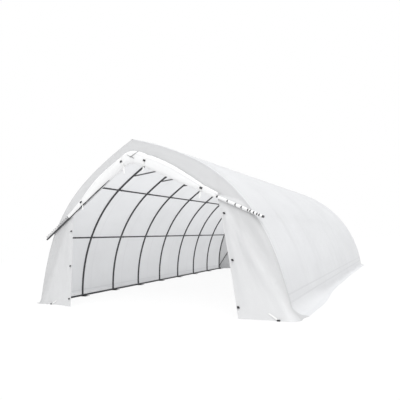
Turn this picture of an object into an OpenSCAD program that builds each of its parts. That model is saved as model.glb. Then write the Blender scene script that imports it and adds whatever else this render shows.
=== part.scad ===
// Storage shelter: a steel hoop frame under a stretched fabric cover.
// Origin: on the ground, at the middle of the shelter. +X right, +Y to the back, +Z up.

/* [Overall] */
// Distance between the centre lines of the left and right hoop feet
span = 6096; // [5000:1:7400]
// Distance from one hoop to the next
bay = 1132; // [850:1:1400]

/* [Arch] */
// Radius of the wall bow, which stands upright at the ground
wall_r = 3250; // [2700:1:3900]
// Angle that the wall bow turns through before the roof bow starts
wall_sweep = 59; // [54:0.5:63]
// Slope of the roof where the two sides meet at the ridge
peak_slope = 18.8; // [15:0.1:23]

/* [Frame tubes] */
// Diameter of the hoop tubes
hoop_d = 50; // [38:1:60]
// Diameter of the purlins that run from end to end
purlin_d = 40; // [30:1:50]
// Diameter of the base rails on the ground
rail_d = 50; // [38:1:60]
// Diameter of the collar ties and the end braces
tie_d = 35; // [25:1:44]
// Diameter of the end posts
post_d = 40; // [30:1:50]
// Place of the mid purlin, as an angle up the wall bow
mid_purlin_at = 29.2; // [22:0.1:36]
// Place of the upper purlin, as an angle up the wall bow
upper_purlin_at = 57.9; // [50:0.1:58.5]
// Drop from the peak of the hoop to the collar tie
tie_drop = 439; // [300:1:440]

/* [Feet] */
// Length of a base plate, across the shelter
plate_w = 220; // [180:1:280]
// Width of a base plate, along the shelter
plate_l = 150; // [100:1:200]
// Thickness of a base plate
plate_t = 6; // [4:0.5:10]
// Diameter of an anchor hole
anchor_d = 14; // [8:0.5:20]
// Distance between the two anchor holes of a plate
anchor_pitch = 100; // [60:1:120]
// Distance from the inner edge of a plate to its anchor holes
anchor_edge = 35; // [20:1:45]

/* [Saddles] */
// Width of a purlin saddle, along the hoop
saddle_w = 56; // [50:1:80]
// Thickness of a purlin saddle, along the purlin
saddle_t = 25; // [15:1:40]

/* [End frames] */
// Half width of the doorway on the ground
door_half = 2140; // [1800:1:2250]
// Angle that the doorway's sides lean in by
door_lean = 5.8; // [0:0.1:9]
// Distance from the doorway's side to the middle of the front post behind it
post_inset = 75; // [50:1:120]
// Half distance between the back posts
back_post_half = 2088; // [1700:1:2200]
// Height at which a brace meets its post
brace_top = 1290; // [900:1:1600]
// Height at which a brace meets the hoop's leg
brace_foot = 100; // [95:1:250]

/* [Door] */
// Drop from the peak of the hoop to the top of the doorway
door_drop = 425; // [380:1:520]
// Slope of the door rods
rod_slope = 28.05; // [24:0.05:32]
// Diameter of the door rods
rod_d = 40; // [30:1:48]
// How far a rod runs on past the side of the hoop
rod_reach = 203; // [120:1:260]
// Depth of the rolled door at the peak
roll_peak = 330; // [240:1:350]
// Depth of the rolled door at its outer end
roll_end = 170; // [120:1:220]
// Thickness of the rolled door, from front to back
roll_thick = 140; // [100:1:180]
// How far the rolled door runs on past the doorway's side
roll_past = 120; // [60:1:160]

/* [Fabric] */
// Thickness allowed for a sheet of fabric
fabric_t = 3; // [2:0.5:5]
// Width of the ground skirt beside the walls, from the middle of the hoop's foot
side_skirt = 200; // [120:1:260]
// Depth of the ground skirt at both ends, from the middle of the end hoop
end_skirt = 400; // [250:1:500]

/* [Trim] */
// Width of the straps on the rolled door
strap_w = 30; // [20:1:40]
// Thickness of the straps
strap_t = 2; // [1.5:0.5:3]
// Length of a strap across the rolled door
strap_l = 100; // [80:1:110]
// Length of a strap's loose tail
strap_tail = 230; // [150:1:280]
// Places of the straps, from the middle of the doorway
strap_at = [367, 1618];
// Width, depth and height of a strap buckle
buckle = [36, 10, 24];
// Diameter of a panel toggle
toggle_d = 26; // [16:1:34]
// Length of a panel toggle
toggle_l = 14; // [8:1:20]
// Distance from the doorway's side to the toggles
toggle_inset = 45; // [30:1:60]
// Heights of the toggles
toggle_at = [100, 900, 1720];
// Width, depth and height of a corner ratchet
ratchet = [80, 42, 36];
// Distance from the middle of the hoop's foot to the ratchet
ratchet_inset = 170; // [120:1:240]

/* [Hidden] */

bays = 8;               // bays between the first hoop and the last
seat = 0.3;             // clearance at a seat
rail_gap = 0.5;         // clearance between a base rail and the leaning leg
peak_half = 12;         // half width of the peak block at its lower edge
peak_wall = 3;          // how far the peak block stands out past the tube
purlin_past = 20;       // how far a purlin runs on past the end hoop's middle
tube_fn = 32;           // sides drawn round a tube
arc_fn = 360;           // sides drawn round an arc
step = 2.5;             // angle between the points of a fabric end's outline
steel = [0.27, 0.27, 0.28];
fabric = [0.93, 0.93, 0.94];
black = [0.08, 0.08, 0.09];

hoop_r = hoop_d / 2;
purlin_r = purlin_d / 2;
rail_r = rail_d / 2;
tie_r = tie_d / 2;
post_r = post_d / 2;
rod_r = rod_d / 2;
half_len = bays * bay / 2;

// The arch, for the right half: centres of the two bows, and the roof bow's radius
wall_cx = span / 2 - wall_r;
peak_angle = 90 - peak_slope;
roof_r = (span / 2 - wall_r * (1 - cos(wall_sweep))) / (cos(wall_sweep) - cos(peak_angle));
roof_cx = -roof_r * cos(peak_angle);
roof_cz = (wall_r - roof_r) * sin(wall_sweep);
peak_z = roof_cz + roof_r * sin(peak_angle);

// Layers at the ends, counted outwards from the middle of an end hoop
sheet_in = hoop_r + seat;
sheet_out = sheet_in + fabric_t;
ground_z = fabric_t + seat;

// Small angles that keep the lengths of a bow, or of the cover, apart where they butt
wall_butt = atan(seat / wall_r);
roof_butt = atan(seat / roof_r);

// Purlins lie against the inner side of the hoops
purlin_off = hoop_r + purlin_r + seat;
bow_end = acos((peak_half - roof_cx) / (roof_r - hoop_r - peak_wall));
block_low = roof_cz + (roof_r - hoop_r - peak_wall) * sin(bow_end);
ridge_z = block_low - seat - purlin_r;

// Door rods and rolled door
rod_peak_z = peak_z - door_drop;
rod_b = cos(rod_slope) * -wall_cx - sin(rod_slope) * rod_peak_z;
rod_c = wall_cx * wall_cx + rod_peak_z * rod_peak_z - pow(wall_r + hoop_r, 2);
rod_len = sqrt(rod_b * rod_b - rod_c) - rod_b + rod_reach;
rod_y = -half_len - sheet_out - seat - roll_thick / 2;
door_top_z = (rod_peak_z - tan(rod_slope) * door_half)
    / (1 - tan(rod_slope) * tan(door_lean));
door_top_x = door_half - tan(door_lean) * door_top_z;
roll_len = door_top_x / cos(rod_slope) + roll_past;

// Place on the hoop's centre line of the right half at an angle, moved outwards by off
function wall_at(a, off = 0) = [wall_cx + (wall_r + off) * cos(a), (wall_r + off) * sin(a)];
function roof_at(a, off = 0) = [roof_cx + (roof_r + off) * cos(a), roof_cz + (roof_r + off) * sin(a)];
// Half width of the hoop's centre line at a height
function half_at(z) = z < wall_r * sin(wall_sweep)
    ? wall_cx + sqrt(wall_r * wall_r - z * z)
    : roof_cx + sqrt(roof_r * roof_r - pow(z - roof_cz, 2));
// Height of the hoop's centre line at a half width
function height_at(x) = x > wall_at(wall_sweep)[0]
    ? sqrt(wall_r * wall_r - pow(x - wall_cx, 2))
    : roof_cz + sqrt(roof_r * roof_r - pow(x - roof_cx, 2));
// Point along the right door rod's line, raised by up at right angles to it
function rod_at(s, up = 0) = [
    s * cos(rod_slope) + up * sin(rod_slope),
    rod_peak_z - s * sin(rod_slope) + up * cos(rod_slope)
];
// Depth of the rolled door at a distance along its line
function roll_depth(s) = roll_peak + (roll_end - roll_peak) * s / roll_len;
// Half width of the doorway at a height
function door_at(z) = door_half - tan(door_lean) * z;

// Draws its children on the right side, the left side or both
module sides(right = true, left = true) {
    if (right) children();
    if (left) mirror([1, 0, 0]) children();
}

// Turns a flat profile about an arch centre, from angle a0 to a1
module bend(cx, cz, a0, a1) {
    translate([cx, 0, cz])
        rotate([90, 0, 0])
            rotate([0, 0, a0])
                rotate_extrude(angle = a1 - a0, $fn = arc_fn) children();
}

// Round bar between two points of the XZ plane
module bar(from, to, r) {
    run = to - from;
    translate([from[0], 0, from[1]])
        rotate([0, 90 - atan2(run[1], run[0]), 0])
            cylinder(h = norm(run), r = r, $fn = tube_fn);
}

// Upright sheet of fabric, from y to y + fabric_t, made from a profile in X and Z
module upright(y) {
    translate([0, y + fabric_t, 0])
        rotate([90, 0, 0])
            linear_extrude(height = fabric_t) children();
}

module wall_bow(a0, a1, r = hoop_r)
    bend(wall_cx, 0, a0, a1) translate([wall_r, 0]) circle(r, $fn = tube_fn);

module roof_bow(a0, a1, r = hoop_r)
    bend(roof_cx, roof_cz, a0, a1) translate([roof_r, 0]) circle(r, $fn = tube_fn);

// Outline of the end of the shelter, just inside the cover
module arch_area() {
    wall = [for (a = [0:step:wall_sweep]) wall_at(a, hoop_r)];
    roof = [for (a = [wall_sweep:step:peak_angle]) roof_at(a, hoop_r)];
    right = concat(wall, roof);
    intersection() {
        polygon(concat(
            right,
            [[0, peak_z + hoop_r / cos(peak_slope)]],
            [for (i = [len(right) - 1:-1:0]) [-right[i][0], right[i][1]]]
        ));
        translate([-span, ground_z]) square([2 * span, 2 * peak_z]);
    }
}

// One hoop: three bows a side, butted end to end, and a block at the peak
module hoop(i) {
    foot = asin((plate_t + seat) / wall_r);
    color(steel) translate([0, i * bay - half_len, 0]) {
        sides() {
            wall_bow(foot, wall_sweep / 2 - wall_butt);
            wall_bow(wall_sweep / 2, wall_sweep);
            roof_bow(wall_sweep + roof_butt, bow_end - roof_butt);
        }
        peak_block();
    }
}

module peak_block() {
    low = roof_at(bow_end, -hoop_r - peak_wall);
    high = roof_at(bow_end, hoop_r);
    translate([0, hoop_r, 0])
        rotate([90, 0, 0])
            linear_extrude(height = hoop_d)
                polygon([low, high, [-high[0], high[1]], [-low[0], low[1]]]);
}

// Level ties under the peak of the inner hoops, bolted to their back faces
module collar_ties() {
    z = peak_z - tie_drop;
    half = half_at(z);
    color(steel) for (i = [1:bays - 1])
        translate([0, i * bay - half_len + hoop_r + tie_r + seat, 0])
            bar([-half, z], [half, z], tie_r);
}

module base_rails() {
    x = span / 2 - hoop_r - rail_r - rail_gap;
    color(steel) sides()
        translate([x, -half_len - hoop_r, plate_t + rail_r])
            rotate([-90, 0, 0]) cylinder(h = 2 * (half_len + hoop_r), r = rail_r, $fn = tube_fn);
}

// Each plate is centred on its hoop, and an end plate stays behind the end fabric
module base_plates() {
    slide = plate_l / 2 - hoop_r;
    color(steel) for (i = [0:bays])
        translate([0, i * bay - half_len + (i == 0 ? slide : i == bays ? -slide : 0), 0])
            sides() base_plate();
}

module base_plate() {
    inner = span / 2 + hoop_r - plate_w;
    difference() {
        translate([inner, -plate_l / 2, 0]) cube([plate_w, plate_l, plate_t]);
        for (y = [-anchor_pitch / 2, anchor_pitch / 2])
            translate([inner + anchor_edge, y, -1])
                cylinder(h = plate_t + 2, r = anchor_d / 2, $fn = tube_fn);
    }
}

// Purlin on the inner side of the hoops, with its middle at a point of X and Z
module purlin(at) {
    translate([at[0], -half_len - purlin_past, at[1]])
        rotate([-90, 0, 0])
            cylinder(h = 2 * (half_len + purlin_past), r = purlin_r, $fn = tube_fn);
}

module mid_purlins() {
    color(steel) sides() purlin(wall_at(mid_purlin_at, -purlin_off));
}

module upper_purlins() {
    color(steel) sides() purlin(wall_at(upper_purlin_at, -purlin_off));
}

module ridge_purlin() {
    color(steel) purlin([0, ridge_z]);
}

// Block beside the hoop whose half round notch sits on the purlin
module saddle(at, angle, y) {
    translate([at[0], y + saddle_t, at[1]])
        rotate([90, 0, 0])
            linear_extrude(height = saddle_t)
                rotate([0, 0, angle])
                    difference() {
                        translate([0, -saddle_w / 2]) square([purlin_off + hoop_r / 2, saddle_w]);
                        circle(purlin_r + seat, $fn = tube_fn);
                    }
}

module purlin_saddles() {
    clear = hoop_r + seat;
    color(steel) for (i = [0:bays]) {
        y = i * bay - half_len + (i == 0 ? clear : -clear - saddle_t);
        sides() for (a = [mid_purlin_at, upper_purlin_at])
            saddle(wall_at(a, -purlin_off), a, y);
        saddle([0, ridge_z], 90, y);
    }
}

// Post in the end hoop's plane, cut level at the ground, coped under the hoop, clear of the purlins
module end_post(foot_x, lean) {
    top_z = height_at(foot_x - tan(lean) * height_at(foot_x));
    difference() {
        bar([foot_x + tan(lean) * post_d, -post_d], [foot_x - tan(lean) * top_z, top_z], post_r);
        wall_bow(0, wall_sweep, hoop_r + seat);
        roof_bow(wall_sweep, bow_end, hoop_r + seat);
        for (a = [mid_purlin_at, upper_purlin_at]) {
            at = wall_at(a, -purlin_off);
            translate([at[0], -span / 2, at[1]])
                rotate([-90, 0, 0])
                    cylinder(h = span, r = purlin_r + seat, $fn = tube_fn);
        }
        translate([0, -span / 2, ground_z - span]) cube([span, span, span]);
    }
}

module front_posts() {
    color(steel) translate([0, -half_len, 0]) sides() end_post(door_half + post_inset, door_lean);
}

module back_posts() {
    color(steel) translate([0, half_len, 0]) sides() end_post(back_post_half, 0);
}

// Braces from the hoop's legs up to the posts, on the inner faces of the end frames
module end_brace(foot_x, lean) {
    bar([half_at(brace_foot), brace_foot], [foot_x - tan(lean) * brace_top, brace_top], tie_r);
}

module front_braces() {
    color(steel) translate([0, -half_len + hoop_r + tie_r + seat, 0])
        sides() end_brace(door_half + post_inset, door_lean);
}

module back_braces() {
    color(steel) translate([0, half_len - hoop_r - tie_r - seat, 0])
        sides() end_brace(back_post_half, 0);
}

// Rods along the lower edge of the rolled door
module door_rods() {
    start = rod_r * tan(rod_slope) + seat;
    color(steel) translate([0, rod_y, 0]) sides() bar(rod_at(start), rod_at(rod_len), rod_r);
}

module cover_low(right) {
    r = wall_r + sheet_in;
    color(fabric) sides(right, !right)
        bend(wall_cx, 0, asin(ground_z / r), wall_sweep / 2 - wall_butt)
            translate([r, -half_len - sheet_out]) square([fabric_t, 2 * (half_len + sheet_out)]);
}

module cover_high(right) {
    r = wall_r + sheet_in;
    color(fabric) sides(right, !right)
        bend(wall_cx, 0, wall_sweep / 2, wall_sweep)
            translate([r, -half_len - sheet_out]) square([fabric_t, 2 * (half_len + sheet_out)]);
}

module cover_roof(right) {
    r = roof_r + sheet_in;
    color(fabric) sides(right, !right)
        bend(roof_cx, roof_cz, wall_sweep + roof_butt, acos((seat / 2 - roof_cx) / r))
            translate([r, -half_len - sheet_out]) square([fabric_t, 2 * (half_len + sheet_out)]);
}

// Fabric between the doorway's sloping top and the front hoop
module front_gable(right) {
    color(fabric) sides(right, !right) upright(-half_len - sheet_out)
        intersection() {
            arch_area();
            polygon([
                [seat / 2, rod_peak_z], rod_at(2 * rod_len),
                [span, 2 * peak_z], [seat / 2, 2 * peak_z]
            ]);
        }
}

// Fabric beside the doorway
module front_panel(right) {
    low = ground_z;
    color(fabric) sides(right, !right) upright(-half_len - sheet_out)
        intersection() {
            arch_area();
            polygon([
                [door_at(low), low], [span, low],
                rod_at(2 * rod_len, -seat), [door_top_x, door_top_z - seat]
            ]);
        }
}

module back_wall() {
    color(fabric) upright(half_len + sheet_in) arch_area();
}

// Flat oval that is one end of the rolled door
module roll_face(depth) {
    scale([1, roll_thick / 2, depth / 2])
        rotate([0, 90, 0]) cylinder(h = 1, r = 1, $fn = tube_fn);
}

module door_roll(right) {
    outer = rod_at(roll_len, rod_r + seat + roll_end / 2);
    color(fabric) sides(right, !right) translate([0, rod_y, 0])
        hull() {
            translate([seat / 2, 0, rod_peak_z + (rod_r + seat) / cos(rod_slope) + roll_peak / 2])
                roll_face(roll_peak);
            translate([outer[0], 0, outer[1]])
                rotate([0, rod_slope, 0]) roll_face(roll_end);
        }
}

// Skirts lie flat on the ground and carry the lower edges of the fabric
module side_skirts() {
    w = side_skirt - sheet_in;
    color(fabric) sides()
        translate([span / 2 + sheet_in, -half_len - hoop_r, 0])
            cube([w, 2 * (half_len + hoop_r), fabric_t]);
}

module front_skirts() {
    color(fabric) sides()
        translate([door_half, -half_len - end_skirt, 0])
            cube([span / 2 + side_skirt - door_half, end_skirt - sheet_in, fabric_t]);
}

module back_skirt() {
    color(fabric)
        translate([-span / 2 - side_skirt, half_len + sheet_in, 0])
            cube([span + 2 * side_skirt, end_skirt - sheet_in, fabric_t]);
}

// Place on the front of the rolled door, at its fattest line, for a strap
function strap_place(x) = rod_at(x / cos(rod_slope), rod_r + seat + roll_depth(x / cos(rod_slope)) / 2);

// Strap across the rolled door with its loose tail hanging down
module roll_straps() {
    y = rod_y - roll_thick / 2 - seat - strap_t;
    color(fabric) sides() for (x = strap_at) {
        at = strap_place(x);
        translate([at[0], y + strap_t, at[1]])
            rotate([90, 0, 0])
                linear_extrude(height = strap_t) {
                    rotate([0, 0, -rod_slope]) square([strap_w, strap_l], center = true);
                    translate([-strap_w / 2, -strap_tail]) square([strap_w, strap_tail]);
                }
    }
}

module roll_buckles() {
    y = rod_y - roll_thick / 2 - 2 * seat - strap_t - buckle[1];
    color(black) sides() for (x = strap_at) {
        at = strap_place(x);
        translate([at[0], y, at[1]])
            rotate([0, rod_slope, 0])
                translate([-buckle[0] / 2, 0, -buckle[2] / 2]) cube(buckle);
    }
}

module panel_toggles() {
    color(black) sides() for (z = toggle_at)
        translate([door_at(z) + toggle_inset, -half_len - sheet_out - seat, z])
            rotate([90, 0, 0]) cylinder(h = toggle_l, r = toggle_d / 2, $fn = tube_fn);
}

module corner_ratchets() {
    color(black) sides()
        translate([
            span / 2 - ratchet_inset - ratchet[0] / 2,
            -half_len - sheet_out - seat - ratchet[1],
            ground_z
        ]) cube(ratchet);
}

hoop(0);  // front_hoop
hoop(1);  // hoop_2
hoop(2);  // hoop_3
hoop(3);  // hoop_4
hoop(4);  // hoop_5
hoop(5);  // hoop_6
hoop(6);  // hoop_7
hoop(7);  // hoop_8
hoop(8);  // back_hoop
collar_ties();
base_rails();
base_plates();
mid_purlins();
upper_purlins();
ridge_purlin();
purlin_saddles();
front_posts();
back_posts();
front_braces();
back_braces();
door_rods();
cover_low(false);  // cover_low_left
cover_low(true);  // cover_low_right
cover_high(false);  // cover_high_left
cover_high(true);  // cover_high_right
cover_roof(false);  // cover_roof_left
cover_roof(true);  // cover_roof_right
front_gable(false);  // front_gable_left
front_gable(true);  // front_gable_right
front_panel(false);  // front_panel_left
front_panel(true);  // front_panel_right
back_wall();
door_roll(false);  // door_roll_left
door_roll(true);  // door_roll_right
side_skirts();
front_skirts();
back_skirt();
roll_straps();
roll_buckles();
panel_toggles();
corner_ratchets();
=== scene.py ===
import math

import bmesh
import bpy
from mathutils import Matrix, Vector, noise


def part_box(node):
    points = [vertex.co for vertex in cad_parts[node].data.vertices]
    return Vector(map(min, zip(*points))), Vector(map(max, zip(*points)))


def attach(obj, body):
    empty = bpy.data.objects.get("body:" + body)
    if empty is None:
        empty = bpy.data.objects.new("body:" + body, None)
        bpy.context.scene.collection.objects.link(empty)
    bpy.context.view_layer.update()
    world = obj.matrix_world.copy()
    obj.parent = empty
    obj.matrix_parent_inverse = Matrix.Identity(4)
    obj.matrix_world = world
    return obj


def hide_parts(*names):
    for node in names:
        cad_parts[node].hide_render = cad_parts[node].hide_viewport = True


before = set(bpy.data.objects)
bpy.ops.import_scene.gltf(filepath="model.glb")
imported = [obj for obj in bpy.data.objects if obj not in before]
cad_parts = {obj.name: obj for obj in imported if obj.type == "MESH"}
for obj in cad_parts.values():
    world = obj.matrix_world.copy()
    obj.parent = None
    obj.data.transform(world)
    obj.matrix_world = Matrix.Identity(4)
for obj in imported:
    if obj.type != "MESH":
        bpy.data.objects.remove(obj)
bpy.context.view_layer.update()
print("frame loaded")


# Sizes taken from the frame
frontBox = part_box("front_hoop")
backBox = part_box("back_hoop")
hoopRadius = (frontBox[1][1] - frontBox[0][1]) / 2
halfSpan = frontBox[1][0] - hoopRadius
frontY = (frontBox[0][1] + frontBox[1][1]) / 2
backY = (backBox[0][1] + backBox[1][1]) / 2
bayCount = 8
bay = (backY - frontY) / bayCount

arch = {
    "wallRadius": 3.25,  # bow that stands upright at the ground
    "wallSweep": math.radians(59),
    "peakSlope": math.radians(18.8),
    "clothOut": 0.0285,  # from the middle of a hoop tube to the cloth over it
}
wallX = halfSpan - arch["wallRadius"]
peakAngle = math.pi / 2 - arch["peakSlope"]
roofRadius = (halfSpan - arch["wallRadius"] * (1 - math.cos(arch["wallSweep"]))) / (
    math.cos(arch["wallSweep"]) - math.cos(peakAngle)
)
roofX = -roofRadius * math.cos(peakAngle)
roofZ = (arch["wallRadius"] - roofRadius) * math.sin(arch["wallSweep"])
peakZ = roofZ + roofRadius * math.sin(peakAngle)
wallLength = arch["wallRadius"] * arch["wallSweep"]
roofLength = roofRadius * (peakAngle - arch["wallSweep"])
halfGirth = wallLength + roofLength

door = {
    "drop": 0.425,  # from the hoop's peak to the top of the doorway
    "slope": math.radians(28.05),
    "rodOut": 0.0986,  # from the front hoop's plane to the rods
    "rollEnd": 2.25,  # length of the rolled curtain along its slope
}
rodPeakZ = peakZ - door["drop"]
rodY = frontY - door["rodOut"]
slopeCos = math.cos(door["slope"])
slopeTan = math.tan(door["slope"])


# Place and outward direction on the hoop line, counted along it from the peak
def archAt(along, out=0.0):
    side = -1 if along < 0 else 1
    far = abs(along)
    if far < roofLength:
        turn = math.acos(-roofX / (roofRadius + out)) if far == 0 else peakAngle - far / roofRadius
        x = roofX + (roofRadius + out) * math.cos(turn)
        z = roofZ + (roofRadius + out) * math.sin(turn)
    else:
        turn = max(0.0, arch["wallSweep"] - (far - roofLength) / arch["wallRadius"])
        x = wallX + (arch["wallRadius"] + out) * math.cos(turn)
        z = (arch["wallRadius"] + out) * math.sin(turn)
    return Vector((side * x, 0, z)), Vector((side * math.cos(turn), 0, math.sin(turn)))


# Eased step from 0 at low to 1 at high
def smooth(value, low=0.0, high=1.0):
    t = min(1.0, max(0.0, (value - low) / (high - low)))
    return t * t * (3 - 2 * t)


# Smooth wandering value between about -1 and 1
def ripple(x, y, z):
    return noise.noise(Vector((x, y, z)))


# One output of a shader node; sums on it add Math nodes
class Wire:
    def __init__(self, paint, socket):
        self.paint = paint
        self.socket = socket

    def out(self, name):
        return Wire(self.paint, self.socket.node.outputs[name])

    def math(self, operation, first, second=0.0):
        return self.paint.node("ShaderNodeMath", {"operation": operation}, {0: first, 1: second})

    def __add__(self, other):
        return self.math("ADD", self, other)

    def __radd__(self, other):
        return self.math("ADD", other, self)

    def __sub__(self, other):
        return self.math("SUBTRACT", self, other)

    def __rsub__(self, other):
        return self.math("SUBTRACT", other, self)

    def __mul__(self, other):
        return self.math("MULTIPLY", self, other)

    def __rmul__(self, other):
        return self.math("MULTIPLY", other, self)

    def __truediv__(self, other):
        return self.math("DIVIDE", self, other)

    def __lt__(self, other):
        return self.math("LESS_THAN", self, other)

    def sine(self):
        return self.math("SINE", self)

    def fraction(self):
        return self.math("FRACT", self)

    def size(self):
        return self.math("ABSOLUTE", self)


# The nodes of one material, or of the sky
class Paint:
    def __init__(self, owner):
        self.owner = owner
        owner.use_nodes = True
        self.tree = owner.node_tree
        self.tree.nodes.clear()

    def node(self, kind, settings=None, sockets=None):
        made = self.tree.nodes.new(kind)
        for key, value in (settings or {}).items():
            setattr(made, key, value)
        for key, value in (sockets or {}).items():
            if isinstance(value, Wire):
                self.tree.links.new(value.socket, made.inputs[key])
            else:
                made.inputs[key].default_value = value
        return Wire(self, next(iter(made.outputs.values()), None))

    def mixColour(self, factor, first, second):
        firstColour = first if isinstance(first, Wire) else (*first, 1.0)
        secondColour = second if isinstance(second, Wire) else (*second, 1.0)
        mixed = self.node(
            "ShaderNodeMix",
            {"data_type": "RGBA"},
            {"Factor": factor, 6: firstColour, 7: secondColour},
        )
        return Wire(self, mixed.socket.node.outputs[2])

    def noise(self, where, scale, detail=3.0, roughness=0.5, distortion=0.0):
        return self.node(
            "ShaderNodeTexNoise",
            None,
            {
                "Vector": where,
                "Scale": scale,
                "Detail": detail,
                "Roughness": roughness,
                "Distortion": distortion,
            },
        )

    def bump(self, height, strength, distance):
        return self.node(
            "ShaderNodeBump", None, {"Height": height, "Strength": strength, "Distance": distance}
        )

    def close(self, shader, output="ShaderNodeOutputMaterial"):
        self.node(output, None, {0: shader})
        return self.owner


weave = {
    "tape": 0.0045,  # pitch of the woven tapes
    "rib": 0.024,  # pitch of the thicker threads
    "ribShare": 0.06,
    "seam": 0.022,  # half the width of a seam's doubled cloth
    "hem": 0.014,  # half the width of a hem line
}


# Woven, coated sheet that lets light through: glow is the share seen from outside and from
# inside. Its map is in metres, but drawn out on the front sheets
def clothPaint(name, colour, glow, gloss=0.45, seamEvery=0.0, hems=(), width=0.0, paintedShade=0.0):
    paint = Paint(bpy.data.materials.new(name))
    cloth = paint.node("ShaderNodeUVMap", {"uv_map": "cloth"})
    parts = paint.node("ShaderNodeSeparateXYZ", None, {0: cloth})
    across, along = parts.out("X"), parts.out("Y")
    tapeTurn = 2 * math.pi / weave["tape"]
    tapes = (across * tapeTurn).sine() * (along * tapeTurn).sine()
    ribsAcross = ((across / weave["rib"]).fraction() - 0.5).size() < weave["ribShare"]
    ribsAlong = ((along / weave["rib"]).fraction() - 0.5).size() < weave["ribShare"]
    ribs = ribsAcross + ribsAlong
    cloud = paint.noise(cloth, 0.9, 4.0, 0.55)
    crease = paint.noise(cloth, 5.0, 5.0, 0.6, 0.6)
    doubled = 0.0
    if seamEvery:
        doubled = ((along / seamEvery).fraction() - 0.5).size() < (weave["seam"] / seamEvery)
    hemmed = 0.0
    for place in hems:
        edge = paint.node("ShaderNodeMath", {"operation": "MINIMUM"}, {0: across, 1: width - across})
        hemmed = ((edge - place).size() < weave["hem"]) + hemmed
    darker = [channel * 0.93 for channel in colour]
    lighter = [min(1.0, channel * 1.03) for channel in colour]
    tone = paint.mixColour(cloud * 1.4 - 0.2, darker, lighter)
    seamTone = [channel * 0.9 for channel in colour]
    if isinstance(doubled, Wire):
        tone = paint.mixColour(doubled * 0.3, tone, seamTone)
    if isinstance(hemmed, Wire):
        tone = paint.mixColour(hemmed, tone, [channel * 0.91 for channel in colour])
    # Painted shade: a darker patch on the hoop side of the sheet and below its upper part, standing in
    # for the shade of its hanging folds
    if paintedShade:
        reach = along * 0.5 + crease * 0.3 + (0.85 - across)
        ramp = {"operation": "MULTIPLY", "use_clamp": True}
        inside = paint.node("ShaderNodeMath", ramp, {0: reach, 1: 4.0})
        under = paint.node("ShaderNodeMath", ramp, {0: 1.95 - along, 1: 3.0})
        tone = paint.mixColour(inside * under * paintedShade, tone, [channel * 0.5 for channel in colour])
    height = tapes * 0.25 + ribs * 0.5 + crease * 1.2
    if isinstance(doubled, Wire):
        height = height + doubled * 0.8
    normal = paint.bump(height, 0.35, 0.0012)
    skin = paint.node(
        "ShaderNodeBsdfPrincipled",
        None,
        {
            "Base Color": tone,
            "Roughness": crease * 0.15 + (gloss - 0.07),
            "Specular IOR Level": 0.3,
            "Normal": normal,
        },
    )
    through = paint.node("ShaderNodeBsdfTranslucent", None, {"Color": tone, "Normal": normal})
    inner = paint.node("ShaderNodeNewGeometry").out("Backfacing")  # 1 where seen from inside
    share = inner * (glow[1] - glow[0]) + glow[0]
    if isinstance(doubled, Wire):
        share = share - doubled * 0.05
    lit = paint.node("ShaderNodeMixShader", None, {0: share, 1: skin, 2: through})
    return paint.close(lit)


# Dark powder coat with orange peel, rubbed patches and a little dust
def steelPaint(name, colour, gloss=0.42, peel=60.0):
    paint = Paint(bpy.data.materials.new(name))
    where = paint.node("ShaderNodeTexCoord").out("Object")
    patches = paint.noise(where, 3.0, 5.0, 0.6)
    grain = paint.noise(where, peel, 2.0, 0.5)
    rubbed = [min(1.0, channel * 1.5) for channel in colour]
    tone = paint.mixColour(patches * 1.2 - 0.25, colour, rubbed)
    skin = paint.node(
        "ShaderNodeBsdfPrincipled",
        None,
        {
            "Base Color": tone,
            "Metallic": 0.0,
            "Roughness": patches * 0.2 + (gloss - 0.1),
            "Normal": paint.bump(grain, 0.25, 0.002),
        },
    )
    return paint.close(skin)


# Zinc plate with a soft spangle
def metalPaint(name, colour, gloss):
    paint = Paint(bpy.data.materials.new(name))
    where = paint.node("ShaderNodeTexCoord").out("Object")
    spangle = paint.node("ShaderNodeTexVoronoi", None, {"Vector": where, "Scale": 90.0}).out("Distance")
    darker = [channel * 0.7 for channel in colour]
    skin = paint.node(
        "ShaderNodeBsdfPrincipled",
        None,
        {
            "Base Color": paint.mixColour(spangle, colour, darker),
            "Metallic": 0.85,
            "Roughness": spangle * 0.2 + gloss,
        },
    )
    return paint.close(skin)


# Moulded plastic with a fine grain
def plasticPaint(name, colour, gloss):
    paint = Paint(bpy.data.materials.new(name))
    where = paint.node("ShaderNodeTexCoord").out("Object")
    grain = paint.noise(where, 900.0, 2.0)
    wear = paint.noise(where, 25.0, 4.0)
    skin = paint.node(
        "ShaderNodeBsdfPrincipled",
        None,
        {
            "Base Color": paint.mixColour(wear * 0.5, colour, [channel + 0.03 for channel in colour]),
            "Roughness": wear * 0.15 + gloss,
            "Normal": paint.bump(grain, 0.2, 0.0005),
        },
    )
    return paint.close(skin)


# Flat woven strap: ribs across it and a plain edge
def webbingPaint(name, colour):
    paint = Paint(bpy.data.materials.new(name))
    cloth = paint.node("ShaderNodeUVMap", {"uv_map": "cloth"})
    parts = paint.node("ShaderNodeSeparateXYZ", None, {0: cloth})
    twill = (parts.out("X") * 1400.0 + parts.out("Y") * 1400.0).sine()
    ribs = (parts.out("Y") * 2600.0).sine()
    soil = paint.noise(cloth, 30.0)
    skin = paint.node(
        "ShaderNodeBsdfPrincipled",
        None,
        {
            "Base Color": paint.mixColour(soil * 0.6, colour, [channel * 0.88 for channel in colour]),
            "Roughness": soil * 0.1 + 0.6,
            "Normal": paint.bump(twill + ribs, 0.4, 0.0006),
        },
    )
    return paint.close(skin)


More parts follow.
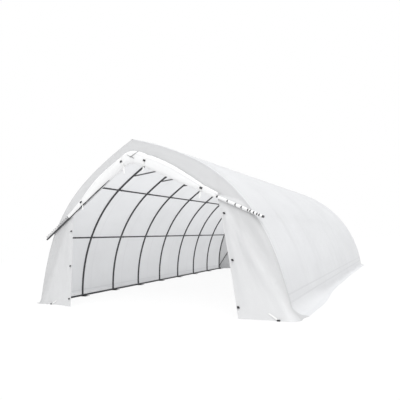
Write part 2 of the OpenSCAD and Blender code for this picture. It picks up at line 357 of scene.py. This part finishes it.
paints = {
    "cover": clothPaint(
        "coverFabric",
        (0.73, 0.735, 0.744),
        (0.15, 0.80),
        seamEvery=bay,
        hems=(0.32, 0.44),
        width=2 * (halfGirth + 0.2),
    ),
    # End sheets: the cover's fabric given a darker colour as painted shade for the upright ends, plus a
    # painted shaded patch (factor 0.22)
    "ends": clothPaint("endFabricPaintedShade", (0.652, 0.654, 0.658), (0.12, 0.6), paintedShade=0.22),
    "door": clothPaint("doorFabric", (0.88, 0.88, 0.88), (0.08, 0.08), 0.5),
    "hoops": steelPaint("hoopSteel", (0.045, 0.045, 0.048)),
    "fittings": steelPaint("fittingSteel", (0.035, 0.035, 0.038), 0.38, 90.0),
    "ties": steelPaint("tieSteel", (0.12, 0.12, 0.125)),
    "zinc": metalPaint("boltZinc", (0.55, 0.56, 0.58), 0.3),
    "ratchet": metalPaint("ratchetSteel", (0.14, 0.14, 0.15), 0.35),
    "black": plasticPaint("blackPlastic", (0.012, 0.012, 0.014), 0.4),
    "webbing": webbingPaint("webbing", (0.86, 0.86, 0.85)),
    "darkCord": webbingPaint("darkCord", (0.12, 0.12, 0.12)),
}
print("finishes made")


# Turns a bmesh into an object that rides on the shelter
def keepPiece(name, bm, paint, rounded=True):
    mesh = bpy.data.meshes.new(name)
    bm.to_mesh(mesh)
    bm.free()
    for face in mesh.polygons:
        face.use_smooth = rounded
    piece = bpy.data.objects.new(name, mesh)
    bpy.context.scene.collection.objects.link(piece)
    mesh.materials.append(paints[paint])
    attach(piece, "root")
    return piece


# Sheet of cloth: place(u, v) says where each corner of a grid goes
def clothGrid(columns, rows, place, mapSize=(1.0, 1.0), facing=None):
    bm = bmesh.new()
    layer = bm.loops.layers.uv.new("cloth")
    bmesh.ops.create_grid(bm, x_segments=columns, y_segments=rows, size=1)
    for face in bm.faces:
        for loop in face.loops:
            flat = loop.vert.co
            loop[layer].uv = ((flat.x + 1) / 2 * mapSize[0], (flat.y + 1) / 2 * mapSize[1])
    for vert in bm.verts:
        vert.co = place((vert.co.x + 1) / 2, (vert.co.y + 1) / 2)
    bm.normal_update()
    if facing is not None:
        lean = sum(face.normal.dot(facing(face.calc_center_median())) for face in bm.faces)
        if lean < 0:
            bmesh.ops.reverse_faces(bm, faces=bm.faces[:])
    return bm


def moveTo(bm, verts, place):
    bmesh.ops.transform(bm, matrix=place, verts=verts)


# Round bar between two points, closed at its ends
def addBar(bm, start, end, radius, sides=16):
    run = Vector(end) - Vector(start)
    made = bmesh.ops.create_cone(
        bm,
        cap_ends=True,
        segments=sides,
        radius1=radius,
        radius2=radius,
        depth=run.length,
    )
    turn = run.to_track_quat("Z", "Y").to_matrix().to_4x4()
    moveTo(bm, made["verts"], Matrix.Translation((Vector(start) + Vector(end)) / 2) @ turn)


# Block with rounded edges
def addBlock(bm, size, place, edge=0.001):
    made = bmesh.ops.create_cube(bm, size=1)
    bmesh.ops.scale(bm, vec=size, verts=made["verts"])
    rounded = bmesh.ops.bevel(
        bm,
        geom=list({side for vert in made["verts"] for side in vert.link_edges}),
        offset=edge,
        offset_type="OFFSET",
        segments=2,
        profile=0.5,
        affect="EDGES",
        material=-1,
    )
    moveTo(bm, rounded["verts"], place)


# Rectangular section swept along points; wide says which way its width lies at each
def addRibbon(bm, points, wide, width, thick, closed=False):
    layer = bm.loops.layers.uv.get("cloth") or bm.loops.layers.uv.new("cloth")
    rings = []
    run = 0.0
    runs = []
    count = len(points)
    for i, point in enumerate(points):
        before = points[i - 1] if (i or closed) else point
        after = points[(i + 1) % count] if (i < count - 1 or closed) else point
        side = wide[i].normalized()
        face = (after - before).cross(side).normalized()
        corners = [(-1, -1), (1, -1), (1, 1), (-1, 1)]
        rings.append(
            [bm.verts.new(point + side * (a * width / 2) + face * (b * thick / 2)) for a, b in corners]
        )
        run += (point - points[i - 1]).length if i else 0.0
        runs.append(run)
    spans = list(zip(range(count - 1), range(1, count)))
    if closed:
        spans.append((count - 1, 0))
    for i, j in spans:
        for k in range(4):
            face = bm.faces.new([rings[i][k], rings[i][k - 3], rings[j][k - 3], rings[j][k]])
            across = width if k in (0, 2) else thick
            spots = [(0, runs[i]), (across, runs[i]), (across, runs[i] + 0.01), (0, runs[i] + 0.01)]
            for loop, spot in zip(face.loops, spots):
                loop[layer].uv = spot
    if not closed:
        bm.faces.new(rings[0])
        bm.faces.new(rings[-1][::-1])
    bmesh.ops.recalc_face_normals(bm, faces=bm.faces[:])
    return run


# Camera, sky and floor
shot = {
    "place": (4.772, -9.876, 1.165),
    "left": math.radians(30.91),
    "up": math.radians(7.51),
    "roll": math.radians(-3.84),
    "lens": 30.7,
}
cameraData = bpy.data.cameras.new("camera")
cameraData.lens = shot["lens"]
cameraData.sensor_width = 36
cameraData.clip_end = 200
camera = bpy.data.objects.new("camera", cameraData)
bpy.context.scene.collection.objects.link(camera)
camera.matrix_world = (
    Matrix.Translation(shot["place"])
    @ Matrix.Rotation(shot["left"], 4, "Z")
    @ Matrix.Rotation(math.pi / 2 + shot["up"], 4, "X")
    @ Matrix.Rotation(shot["roll"], 4, "Z")
)
bpy.context.scene.camera = camera
bpy.context.scene.view_settings.view_transform = "Standard"

skyLight = {"strength": 0.80, "colour": (0.985, 0.99, 1.0)}
world = bpy.data.worlds.new("sky")
bpy.context.scene.world = world
sky = Paint(world)
plainSky = sky.node("ShaderNodeBackground", None, {"Color": (1, 1, 1, 1), "Strength": 1.0})
litSky = sky.node(
    "ShaderNodeBackground",
    None,
    {"Color": (*skyLight["colour"], 1), "Strength": skyLight["strength"]},
)
seen = sky.node("ShaderNodeLightPath")  # its first output is 1 where the camera sees the sky
skyMix = sky.node("ShaderNodeMixShader", None, {0: seen, 1: litSky, 2: plainSky})
sky.close(skyMix, "ShaderNodeOutputWorld")

sun = {"strength": 2.1, "toward": (-0.25, 0.45, -1.0), "angle": math.radians(50)}
sunData = bpy.data.lights.new("sun", "SUN")
sunData.energy = sun["strength"]
sunData.angle = sun["angle"]
sunLight = bpy.data.objects.new("sun", sunData)
bpy.context.scene.collection.objects.link(sunLight)
sunLight.rotation_euler = Vector(sun["toward"]).to_track_quat("-Z", "Y").to_euler()


# White floor that keeps a faint shadow
def floorPaint():
    paint = Paint(bpy.data.materials.new("floorWhite"))
    path = paint.node("ShaderNodeLightPath")
    matte = paint.node("ShaderNodeBsdfDiffuse", None, {"Color": (0.85, 0.85, 0.85, 1)})
    white = paint.node("ShaderNodeEmission", None, {"Color": (1, 1, 1, 1), "Strength": 1.0})
    direct = paint.node(
        "ShaderNodeMath", {"operation": "MAXIMUM"}, {0: path, 1: path.out("Is Glossy Ray")}
    )
    share = direct * 0.9
    return paint.close(paint.node("ShaderNodeMixShader", None, {0: share, 1: matte, 2: white}))


floorMesh = bpy.data.meshes.new("floor")
floorBm = bmesh.new()
bmesh.ops.create_grid(floorBm, x_segments=1, y_segments=1, size=90)
floorBm.to_mesh(floorMesh)
floorBm.free()
floorMesh.materials.append(floorPaint())
floor = bpy.data.objects.new("floor", floorMesh)
bpy.context.scene.collection.objects.link(floor)
print("camera and light set")


# Finishes of the steel that the frame already has
steelWork = {
    "hoops": [
        "front_hoop",
        "back_hoop",
        "base_rails",
        "ridge_purlin",
        "mid_purlins",
        "upper_purlins",
        "front_posts",
        "back_posts",
        "front_braces",
        "back_braces",
    ],
    "fittings": ["base_plates", "door_rods"],
    "ties": ["collar_ties"],
}
steelWork["hoops"] += ["hoop_%d" % number for number in range(2, bayCount + 1)]
for paintName, nodes in steelWork.items():
    for node in nodes:
        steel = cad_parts[node].data
        steel.materials.clear()
        steel.materials.append(paints[paintName])


# Cover: one sheet over the whole arch, its lower edges laid out on the ground
cover = {
    "skirt": 0.27,  # lying on the ground at each side
    "bend": 0.07,  # radius where it turns out onto the ground
    "flare": 0.17,  # added to that radius at the front corners
    "sag": 0.004,  # inward between two hoops
    "wrap": 0.045,  # length turned in over each end hoop
    "wrapRows": 8,
    "columns": 300,
    "rows": 196,
}
coverGirth = 2 * (halfGirth + cover["skirt"])
coverLength = backY - frontY + 2 * cover["wrap"]


# Radius of the cloth's turn onto the ground, and how much of its edge lies flat
def flareAt(y):
    reach = cover["bend"] + cover["flare"] * (1 - smooth(y, frontY + 0.5, frontY + 3.0))
    return reach, 0.42 - 0.27 * smooth(y, frontY + 1.0, frontY + 5.0)


def coverPlace(u, v):
    along = (u - 0.5) * coverGirth
    lip = cover["wrapRows"] / cover["rows"]
    y = frontY + min(1.0, max(0.0, (v - lip) / (1 - 2 * lip))) * (backY - frontY)
    past = max(lip - v, v - 1 + lip, 0.0) / lip * cover["wrap"] / arch["clothOut"]
    outside = arch["clothOut"] * math.cos(past)
    y += arch["clothOut"] * math.sin(past) * (-1 if v < 0.5 else 1)
    side = -1 if along < 0 else 1
    far = abs(along)
    share = (y - frontY) / bay
    within = 0.0 if share < 0 or share > bayCount else share - math.floor(share)
    loose = 4 * within * (1 - within)  # 0 on a hoop, 1 midway between two
    low = smooth(far, halfGirth - 1.6, halfGirth)
    dip = cover["sag"] * loose * (1 - 0.35 * low)
    seam = math.exp(-(((within - 0.5) / 0.018) ** 2))
    dip += 0.0015 * seam * loose
    dip += 0.011 * loose * ripple(along * 0.9, y * 0.8, 3.1)
    dip += (0.002 + 0.008 * low) * loose * ripple(along * 0.55, y * 5.2, 7.7)
    dip += 0.002 * ripple(along * 3.0, y * 3.0, 1.3) * loose
    point, away = archAt(min(far, halfGirth) * side, outside)
    reach, narrow = flareAt(y)
    turnAt = halfGirth - reach - 0.02
    if far <= turnAt:
        return Vector((point.x, y, point.z)) - Vector((away.x, 0, away.z)) * max(dip, -0.002)
    gone = far - turnAt
    base, away = archAt(turnAt * side, outside)
    turned = min(gone / reach, math.pi / 2)
    x = abs(base.x) + reach * (1 - math.cos(turned)) + max(0.0, gone - reach * math.pi / 2) * narrow
    z = base.z - (base.z - 0.005) * math.sin(turned)
    edge = smooth(gone, reach * 0.8, 0.5)
    x += edge * 0.035 * ripple(y * 0.7, side * 3.0, 2.2) - (1 - edge) * dip
    z += edge * 0.004 * (1 + ripple(y * 5.0, far * 6.0, 5.5))
    return Vector((side * x, y, max(z, 0.004)))


coverBm = clothGrid(
    cover["columns"],
    cover["rows"],
    coverPlace,
    (coverGirth, coverLength),
    lambda spot: Vector((spot.x, 0, spot.z + 0.2)),
)
coverPiece = keepPiece("cover", coverBm, "cover")
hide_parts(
    *["cover_%s_%s" % (part, side) for part in ("low", "high", "roof") for side in ("left", "right")],
    "side_skirts",
)
print("cover made")


# Front: one sheet each side of the doorway, hung from the hoop and laced to the rod
panel = {
    "split": 0.343,  # share of the arch length where the rod crosses the hoop
    "lace": 0.0766,  # from the hoop's plane to the cloth behind a rod
    "rim": 0.012,  # from the middle of a hoop tube out to the edge of an end sheet
    "rimLace": 0.031,  # from the hoop's plane to the cloth at its rim
    "flat": (1.55, 4.4),
    "cut": 3.3,  # area of the crescent
    "map": (2.2, halfGirth),
    "right": {
        "pinch": 0.09,
        "jamb": 1.99,
        "edge": [
            (2.378, -4.976),
            (2.70, -4.964),
            (3.005, -4.972),
            (3.23, -4.965),
            (3.365, -4.80),
            (3.36, -4.555),
        ],
        "folds": [(0.72, -0.42, 0.16, 0.070), (0.25, -0.05, 0.09, 0.014), (0.90, -0.02, 0.05, 0.008)],
    },
    "left": {
        "pinch": 0.0,
        "jamb": 1.876,
        "edge": [(1.811, -4.758), (2.308, -4.660), (2.828, -4.600), (3.16, -4.610), (3.375, -4.555)],
        "folds": [(0.30, 0.02, 0.09, 0.030), (0.58, -0.03, 0.09, 0.026), (0.85, 0.0, 0.07, 0.008)],
    },
}


# Smooth curve through the stops, at a share of the way along them
def between(stops, share):
    place = share * (len(stops) - 1)
    i = min(int(place), len(stops) - 2)
    t = place - i
    first = stops[i - 1] if i else stops[i]
    last = stops[i + 2] if i + 2 < len(stops) else stops[i + 1]
    result = []
    for a, b, c, d in zip(first, stops[i], stops[i + 1], last):
        square = 2 * a - 5 * b + 4 * c - d
        cube = 3 * b - a - 3 * c + d
        result.append(0.5 * (2 * b + (c - a) * t + square * t * t + cube * t**3))
    return result


# Place on a front sheet: a runs up the hoop to the peak, b from the hoop to the free edge
def frontPlace(name, a, b):
    side = -1 if name == "left" else 1
    look = panel[name]
    arched = archAt(halfGirth * (1 - max(a, 0.0)), panel["rim"])[0]
    if a >= panel["split"]:
        share = (a - panel["split"]) / (1 - panel["split"])
        inner = look["jamb"] * (1 - share)
        innerZ = rodPeakZ - slopeTan * inner
        x = arched.x + (inner - arched.x) * b
        z = arched.z + (innerZ - arched.z) * b
        rise = smooth(b, 0.0, 0.35) * (1 - smooth(share, 0.0, 0.10))
        forward = panel["rimLace"] + (panel["lace"] - panel["rimLace"]) * rise
        forward += 0.006 * abs(ripple(x * 1.7, z * 1.7, side * 4.0)) * smooth(b, 0.0, 0.3)
        return Vector((side * x, frontY - forward, z))
    drop = 1 - a / panel["split"]  # 0 along the rod, 1 at the lower edge
    crossing = archAt(halfGirth * (1 - panel["split"]), panel["rim"])[0]
    topX = crossing.x + (look["jamb"] - crossing.x) * b
    topZ = crossing.z + (rodPeakZ - slopeTan * look["jamb"] - crossing.z) * b
    topZ -= 0.07 * smooth(b, 0.5, 1.0)
    footX, footY = between(look["edge"], 1 - b)
    loose = smooth(b, 0.0, 0.35)
    straight = topX + (footX - topX) * drop
    reach = flareAt(frontY)[0]
    low = min(1.0, arched.z / (reach + 0.02))
    rimX = arched.x + (footX - arched.x) * (1 - math.sqrt(1 - (1 - low) ** 2)) * (1 - loose)
    hung = rimX + (straight - rimX) * smooth(b, 0.0, 0.5)
    spread = smooth(drop, 0.90, 1.0)
    x = hung + (straight - hung) * spread * loose
    z = topZ * (1 - drop) + (arched.z - topZ * (1 - drop)) * (1 - loose) * (1 - spread)
    topY = frontY - panel["rimLace"] - (panel["lace"] - panel["rimLace"]) * loose
    power = 9.0 - 7.8 * smooth(b, 0.0, 0.9)
    y = topY + (footY - topY) * drop**power
    pinched = smooth(b, 0.0, 0.55) * smooth(1 - b, 0.0, 0.45)
    y -= look["pinch"] * math.sin(math.pi * min(1.0, drop)) * pinched
    sway = math.sin(math.pi * min(1.0, drop * 1.02)) ** 0.6 if 0 < drop < 0.98 else 0.0
    for centre, drift, wide, deep in look["folds"]:
        bulge = math.exp(-(((b - centre - drift * (drop - 0.2)) / wide) ** 2))
        fade = min(1.0, 6 * drop) * (1 - 0.85 * drop**4)
        y -= deep * bulge * (0.25 + 0.75 * smooth(drop, 0.0, 0.6)) * fade
    y += 0.010 * ripple(b * 6.0, z * 0.8, side * 2.0) * sway * loose
    y += 0.003 * ripple(b * 18.0, z * 4.0, side * 5.0) * sway
    return Vector((side * x, y, max(z, 0.005)))


for sideName in ("left", "right"):
    frontBm = clothGrid(
        110,
        190,
        lambda u, v: frontPlace(sideName, v, u**1.2),
        panel["map"],
        lambda spot: Vector((0, -1, 0)),
    )
    front = keepPiece("front_" + sideName, frontBm, "ends")
    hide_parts("front_gable_" + sideName, "front_panel_" + sideName)
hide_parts("front_skirts")
print("front made")


# Back wall: one sheet with its lower edge laid out on the ground
back = {
    "skirt": 0.37,
    "skirtShare": 0.1,  # of the sheet's rows
    "cut": 18.0,  # area of the arch and its skirt
    "columns": 120,
    "rows": 120,
}


def backPlace(u, v):
    along = (2 * u - 1) * halfGirth
    top = archAt(along, panel["rim"])[0]
    floorX = (halfSpan + 0.02) * math.sin(math.pi / 2 * (2 * u - 1))
    if v < back["skirtShare"]:
        share = v / back["skirtShare"]
        y = backY + 0.04 + back["skirt"] * (1 - share)
        z = 0.006 + 0.04 * smooth(share, 0.7, 1.0) + 0.004 * ripple(floorX * 5, y * 5, 1.0)
        if z > top.z:
            z = max(0.005, min(z, 0.006 + top.z))
        return Vector((floorX * (1 + 0.03 * (1 - share)), y, max(0.004, z)))
    share = (v - back["skirtShare"]) / (1 - back["skirtShare"])
    startZ = min(0.046, top.z)
    z = startZ + (top.z - startZ) * share
    x = floorX + (top.x - floorX) * share
    y = backY + 0.031 + 0.009 * (1 - smooth(share, 0.0, 0.05))
    y += 0.010 * abs(ripple(x * 1.3, z * 1.3, 8.0)) * math.sin(math.pi * share)
    return Vector((x, y, z))


backBm = clothGrid(
    back["columns"],
    back["rows"],
    backPlace,
    (2 * halfSpan, peakZ + back["skirt"]),
    lambda spot: Vector((0, 1, 0.1)),
)
backPiece = keepPiece("back_sheet", backBm, "ends")
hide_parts("back_wall", "back_skirt")
print("back made")


# Rolled door curtain wrapped along both rods
roll = {
    "peak": 0.265,  # depth in the middle
    "end": 0.105,  # depth at its ends
    "taper": (0.75, 2.0),  # where it thins, from the middle out
    "thick": 0.12,
    "square": 0.8,  # 1 for an oval section, less for a squarer one
    "out": 0.089,  # from the hoop's plane to the middle of the roll
    "straps": (-1.48, -0.18, 0.367, 1.67),
    "cinch": 0.12,  # share taken in under a strap
    "columns": 64,
    "rows": 300,
}


def rollTaper(x):
    return smooth(abs(x), *roll["taper"])


def rollThick(x):
    return roll["thick"] / 2 * (1 - 0.3 * rollTaper(x))


# Outward and upward shares of the roll's section at a turn
def rollSection(turn):
    outward = -math.copysign(abs(math.cos(turn)) ** roll["square"], math.cos(turn))
    upward = math.copysign(abs(math.sin(turn)) ** roll["square"], math.sin(turn))
    return outward, upward


# Middle of the roll, its upward direction and its depth at x
def rollAt(x):
    soft = 0.12
    far = math.sqrt(x * x + soft * soft)
    depth = roll["peak"] + (roll["end"] - roll["peak"]) * rollTaper(x)
    tilt = math.atan(slopeTan * x / far)
    up = Vector((math.sin(tilt), 0, math.cos(tilt)))
    low = Vector((x, frontY - roll["out"], rodPeakZ - slopeTan * far))
    low -= up * (0.032 - 0.017 * smooth(-x, 0.25, 0.6))
    return low + up * (depth / 2), up, depth


def rollPlace(u, v):
    reach = door["rollEnd"] * slopeCos
    x = (2 * v - 1) * reach
    middle, up, depth = rollAt(x)
    turn = 2 * math.pi * u
    cosine, sine = math.cos(turn), math.sin(turn)
    thick = rollThick(x)
    outward, upward = rollSection(turn)
    tight = 1.0
    for strap in roll["straps"]:
        tight -= roll["cinch"] * math.exp(-(((x - strap) / 0.06) ** 2))
    closing = min(1.0, (1 - abs(2 * v - 1)) * reach / 0.035)
    tight *= math.sqrt(1 - (1 - closing) ** 2)
    swell = 1 + 0.07 * ripple(x * 2.2, cosine * 1.6, sine * 1.6)
    swell += 0.045 * ripple(x * 1.1, cosine * 4.5 + 9, sine * 4.5) * min(1.0, closing)
    swell += 0.02 * ripple(x * 14.0, cosine * 2.5, sine * 2.5 + 4)
    edge = 0.012 * math.exp(-(((turn - 0.55) / 0.12) ** 2))  # free edge of the rolled cloth
    y = middle.y + min(outward * (thick * tight * swell + edge), thick)
    return Vector((middle.x, y, middle.z)) + up * (upward * depth / 2 * tight * swell)


rollBm = clothGrid(roll["columns"], roll["rows"], rollPlace, (1.0, 4.6))
bmesh.ops.remove_doubles(rollBm, verts=rollBm.verts[:], dist=0.0002)
bmesh.ops.recalc_face_normals(rollBm, faces=rollBm.faces[:])
rollPiece = keepPiece("door_curtain", rollBm, "door")
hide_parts("door_roll_left", "door_roll_right")
print("curtain made")


# Straps round the curtain, with their buckles and hanging tails
strap = {
    "width": 0.04,
    "thick": 0.002,
    "tailWidth": 0.025,
    "tails": (0.10, 0.15, 0.10, 0.12),
    "buckle": (0.055, 0.014, 0.036),
    "bar": (0.046, 0.006, 0.005),
}
strapBm = bmesh.new()
buckleBm = bmesh.new()
for number, (at, tailLength) in enumerate(zip(roll["straps"], strap["tails"])):
    middle, up, depth = rollAt(at)
    thick = rollThick(at) * (1 - roll["cinch"])
    tall = depth / 2 * (1 - roll["cinch"])
    lengthwise = up.cross(Vector((0, 1, 0))).normalized()
    loop = []
    for step in range(40):
        outward, upward = rollSection(2 * math.pi * step / 40)
        loop.append(middle + Vector((0, outward * (thick + 0.005), 0)) + up * (upward * (tall + 0.005)))
    addRibbon(strapBm, loop, [lengthwise] * 40, strap["width"], strap["thick"], closed=True)
    front = middle - Vector((0, thick + 0.011, 0))
    stance = Matrix((lengthwise, Vector((0, 1, 0)), up)).transposed().to_4x4()
    addBlock(buckleBm, strap["buckle"], Matrix.Translation(front) @ stance, 0.004)
    for shift in (-0.012, 0.012):
        addBlock(
            buckleBm,
            strap["bar"],
            Matrix.Translation(front + up * shift + Vector((0, -0.008, 0))) @ stance,
            0.0015,
        )
    bottom = middle - up * (tall + 0.012)
    hang = []
    for step in range(12):
        share = step / 11
        drift = 0.012 * math.sin(share * 2.5 + at * 5) * share
        hang.append(bottom + Vector((drift, -0.03 - 0.01 * share, -tailLength * share)))
    tailBm = bmesh.new()
    ran = addRibbon(tailBm, hang, [Vector((1, 0.25, 0))] * 12, strap["tailWidth"], strap["thick"])
    tail = keepPiece("strap_tail_%d" % number, tailBm, "webbing", False)
straps = keepPiece("curtain_straps", strapBm, "webbing", False)
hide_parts("roll_straps")
buckles = keepPiece("curtain_buckles", buckleBm, "black", False)
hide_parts("roll_buckles")


# Lacing on the lower third of each rod: wide tabs on the right; on the left, small dark loops that
# paint the shadow gaps between the lacing
lacing = {
    "gaps": (1.994, 2.182, 2.326, 2.433, 2.545, 2.586, 2.645, 2.700, 2.736, 2.792),
    "gap": 0.021,  # bare rod between two tabs
    "tabOut": 0.0235,  # from the middle of the rod to a tab
    "loops": (1.99, 2.79),  # where they begin and end
    "loopPitch": 0.064,
}


def rodPoint(x, side):
    return Vector((side * x, rodY, rodPeakZ - slopeTan * x))


alongRod = Vector((slopeCos, 0, -math.sin(door["slope"])))
offRod = Vector((math.sin(door["slope"]), 0, slopeCos))
tabBm = bmesh.new()
for first, last in zip(lacing["gaps"], lacing["gaps"][1:]):
    width = (last - first - lacing["gap"]) / slopeCos
    if width < 0.01:
        continue
    centre = rodPoint((first + last) / 2, 1)
    fold = []
    for step in range(13):
        turn = math.radians(-40 + 220 * step / 12)
        fold.append(
            centre
            + Vector((0, -lacing["tabOut"] * math.cos(turn), 0))
            + offRod * (lacing["tabOut"] * math.sin(turn))
        )
    fold.insert(0, centre + Vector((0, 0.0, -0.034)))
    addRibbon(tabBm, fold, [alongRod] * len(fold), width, 0.003)
tabs = keepPiece("right_tabs", tabBm, "door", False)

# Dark cord rings on the left rod: painted shadow, standing in for the shaded gaps between white lacing
# loops
shadowLoopBm = bmesh.new()
loopX, lastX = lacing["loops"]
leftOff = Vector((-offRod.x, 0, offRod.z))
leftAlong = Vector((-alongRod.x, 0, alongRod.z))
while loopX < lastX:
    centre = rodPoint(loopX, -1)
    ring = []
    for step in range(20):
        turn = 2 * math.pi * step / 20
        ring.append(
            centre
            + Vector((0, -0.025 * math.cos(turn), 0))
            + leftOff * (0.026 + 0.050 * math.sin(turn))
            + leftAlong * (0.020 * math.sin(turn))
        )
    addRibbon(shadowLoopBm, ring, [leftAlong] * 20, 0.009, 0.004, closed=True)
    loopX += lacing["loopPitch"]
loops = keepPiece("left_loops_painted_shadow", shadowLoopBm, "darkCord", False)


# Clamps where the purlins pass under the hoops
clamp = {
    "purlin": 0.02,  # radius of a purlin
    "band": (0.055, 0.0022),  # round the hoop: width and thickness
    "cup": (0.032, 0.003),  # under the purlin: width and thickness
    "apart": 0.045,  # from the hoop's plane to the middle of a cup
    "bolt": 0.006,
}


# Cups and bolts at each shift from a hoop, and a band round the hoop where there is a gap to it
def addClamp(bm, bolts, place, lean, gap, shifts):
    outward = Vector((math.sin(lean), 0, math.cos(lean)))
    sideways = Vector((math.cos(lean), 0, -math.sin(lean)))
    lengthwise = Vector((0, 1, 0))
    if gap:
        band = []
        for step in range(24):
            turn = 2 * math.pi * step / 24
            spot = outward * math.sin(turn) + lengthwise * math.cos(turn)
            band.append(place + outward * gap + spot * (hoopRadius + 0.0012))
        addRibbon(bm, band, [sideways] * 24, *clamp["band"], closed=True)
    for shift in shifts:
        low = place + lengthwise * shift
        cup = []
        for step in range(15):
            turn = math.radians(170 + 200 * step / 14)
            spot = outward * math.sin(turn) + sideways * math.cos(turn)
            cup.append(low + spot * (clamp["purlin"] + 0.0018))
        addRibbon(bm, cup, [lengthwise] * 15, *clamp["cup"])
        for lead in (-1, 1):
            foot = low + sideways * (lead * (clamp["purlin"] + 0.009)) - outward * 0.012
            addBar(bolts, foot, foot + outward * 0.030, clamp["bolt"], 6)


clampBm = bmesh.new()
boltBm = bmesh.new()
for number in range(bayCount + 1):
    hoopY = frontY + number * bay
    shifts = []  # the two hoops at each end have a cup on the side towards the middle only
    if number > 1:
        shifts.append(-clamp["apart"])
    if number < bayCount - 1:
        shifts.append(clamp["apart"])
    for node in ("mid_purlins", "upper_purlins"):
        low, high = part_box(node)
        purlinX, purlinZ = high.x - clamp["purlin"], (low.z + high.z) / 2
        lean = math.atan2(purlinX - wallX, purlinZ)
        gap = arch["wallRadius"] - math.hypot(purlinX - wallX, purlinZ)
        for side in (-1, 1):
            place = Vector((side * purlinX, hoopY, purlinZ))
            addClamp(clampBm, boltBm, place, side * lean, gap, shifts)
    low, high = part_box("ridge_purlin")  # no band at the peak, under the cover's fold
    addClamp(clampBm, boltBm, Vector((0, hoopY, (low.z + high.z) / 2)), 0, 0, shifts)
clamps = keepPiece("purlin_clamps", clampBm, "fittings", False)
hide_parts("purlin_saddles")
keepPiece("clamp_bolts", boltBm, "zinc", False)


# Ratchets at the front corners, with the straps that pull the edge of the cloth down
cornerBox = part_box("corner_ratchets")
ratchet = {
    "x": cornerBox[1][0] - 0.04,
    "y": (cornerBox[0][1] + cornerBox[1][1]) / 2,
    "cheek": (0.078, 0.003, 0.034),
    "handle": (0.05, 0.028, 0.004),
    "pull": (0.03, 0.003),  # width and thickness of the strap
    "hook": (0.05, 0.026, 0.022),
}
ratchetBm = bmesh.new()
pullBm = bmesh.new()
hookBm = bmesh.new()
for side in (-1, 1):
    spot = Vector((side * ratchet["x"], ratchet["y"], 0.018))
    for shift in (-0.017, 0.017):
        place = Matrix.Translation(spot + Vector((0, shift, 0)))
        addBlock(ratchetBm, ratchet["cheek"], place, 0.001)
    addBar(ratchetBm, spot + Vector((0, -0.02, 0)), spot + Vector((0, 0.02, 0)), 0.009)
    handle = Matrix.Translation(spot + Vector((0.01, 0, 0.015)))
    addBlock(ratchetBm, ratchet["handle"], handle, 0.001)
    name = "left" if side < 0 else "right"
    path = []
    for step in range(9):
        share = step / 8
        spot = frontPlace(name, panel["split"] * 0.05 * (1 - share), 0.67 - 0.085 * share)
        path.append(spot + Vector((0, -0.009, 0.009)))
    addRibbon(pullBm, path, [Vector((1, 0, 0.3 * side))] * 9, *ratchet["pull"])
    hook = Matrix.Translation(path[-1] + Vector((0, -0.012, 0.004)))
    addBlock(hookBm, ratchet["hook"], hook, 0.004)
ratchets = keepPiece("ratchets", ratchetBm, "ratchet", False)
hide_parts("corner_ratchets")
pulls = keepPiece("pull_straps", pullBm, "webbing", False)
keepPiece("pull_hooks", hookBm, "black", False)
print("clamps and ratchets made")


# Cords that cross over the curtain at the peak
peakCord = {
    "thick": 0.009,
    "ends": (((-0.05, 3.13), (0.16, 3.02)), ((0.27, 3.15), (0.05, 3.06))),  # across and up
}
for number, (start, end) in enumerate(peakCord["ends"]):
    cordBm = bmesh.new()
    middle, up, depth = rollAt(0.0)
    face = middle.y - roll["thick"] / 2 - 0.010
    top = Vector((start[0], face + 0.012, start[1]))
    bottom = Vector((end[0], face - 0.004, end[1]))
    addBar(cordBm, top, bottom, peakCord["thick"] / 2, 10)
    cross = keepPiece("peak_cord_%d" % number, cordBm, "darkCord")
    reach = (bottom - top).length


# Toggles that hold the panels' free edges
toggle = {
    "heights": (0.17, 0.89, 1.68),
    "inset": {"left": (0.95, 0.95, 0.95), "right": (0.965, 0.925, 0.89)},
    "bar": (0.05, 0.016, 0.022),
    "body": (0.018, 0.026, 0.034),
}
toggleBm = bmesh.new()
for sideName, sideSign in (("left", -1), ("right", 1)):
    for height, inset in zip(toggle["heights"], toggle["inset"][sideName]):
        bestA = min(
            (step / 400 * panel["split"] for step in range(401)),
            key=lambda a: abs(frontPlace(sideName, a, inset).z - height),
        )
        spot = frontPlace(sideName, bestA, inset)
        place = Matrix.Translation(spot + Vector((0, -0.014, 0))) @ Matrix.Rotation(
            sideSign * 0.5, 4, "Y"
        )
        addBlock(toggleBm, toggle["bar"], place, 0.006)
        addBlock(toggleBm, toggle["body"], place, 0.005)
toggles = keepPiece("toggles", toggleBm, "black", True)
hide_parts("panel_toggles")
for sideName, extras in (("left", [loops, toggles, pulls]), ("right", [tabs])):
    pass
peakZ + back["skirt"]
print("straps, tabs and toggles made")
